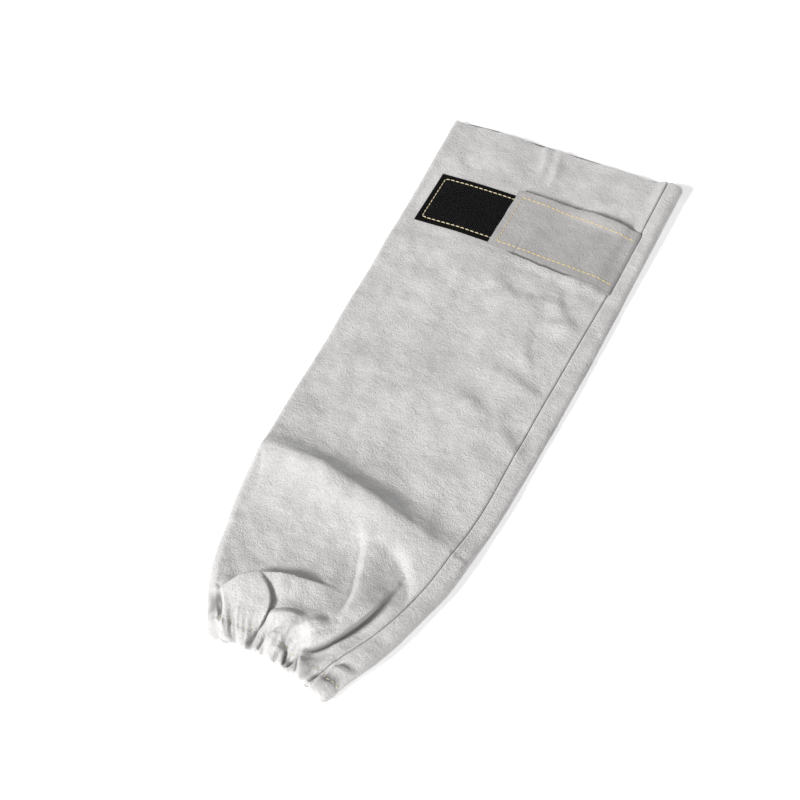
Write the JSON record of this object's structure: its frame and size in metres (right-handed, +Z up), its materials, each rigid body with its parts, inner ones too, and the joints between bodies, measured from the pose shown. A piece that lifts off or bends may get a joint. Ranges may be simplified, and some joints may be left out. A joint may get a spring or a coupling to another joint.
{
  "type": "welding sleeve",
  "caption": "Split-leather welding sleeve, a tapering tube with a gathered elastic cuff and a tape-fastened strap at the upper arm.",
  "frame": {"origin": "centre of the resting footprint, on the surface that the sleeve lies on", "axes": "+Y along the sleeve toward the upper-arm opening, +X across it toward the seam and the strap's root, +Z up out of the front wall"},
  "size_m": [0.18, 0.4796, 0.0213],
  "materials": {
    "suede": "light grey split leather with a short nap",
    "elastic": "woven off-white elastic",
    "black_tape": "black hook-and-loop tape",
    "grey_tape": "dark hook-and-loop tape"
  },
  "bodies": {
    "root": {"sleeve_shell": "suede", "cuff_elastic": "elastic", "fastener_patch": "black_tape", "strap_tape": "grey_tape", "closure_strap": "suede"}
  },
  "joints": []
}
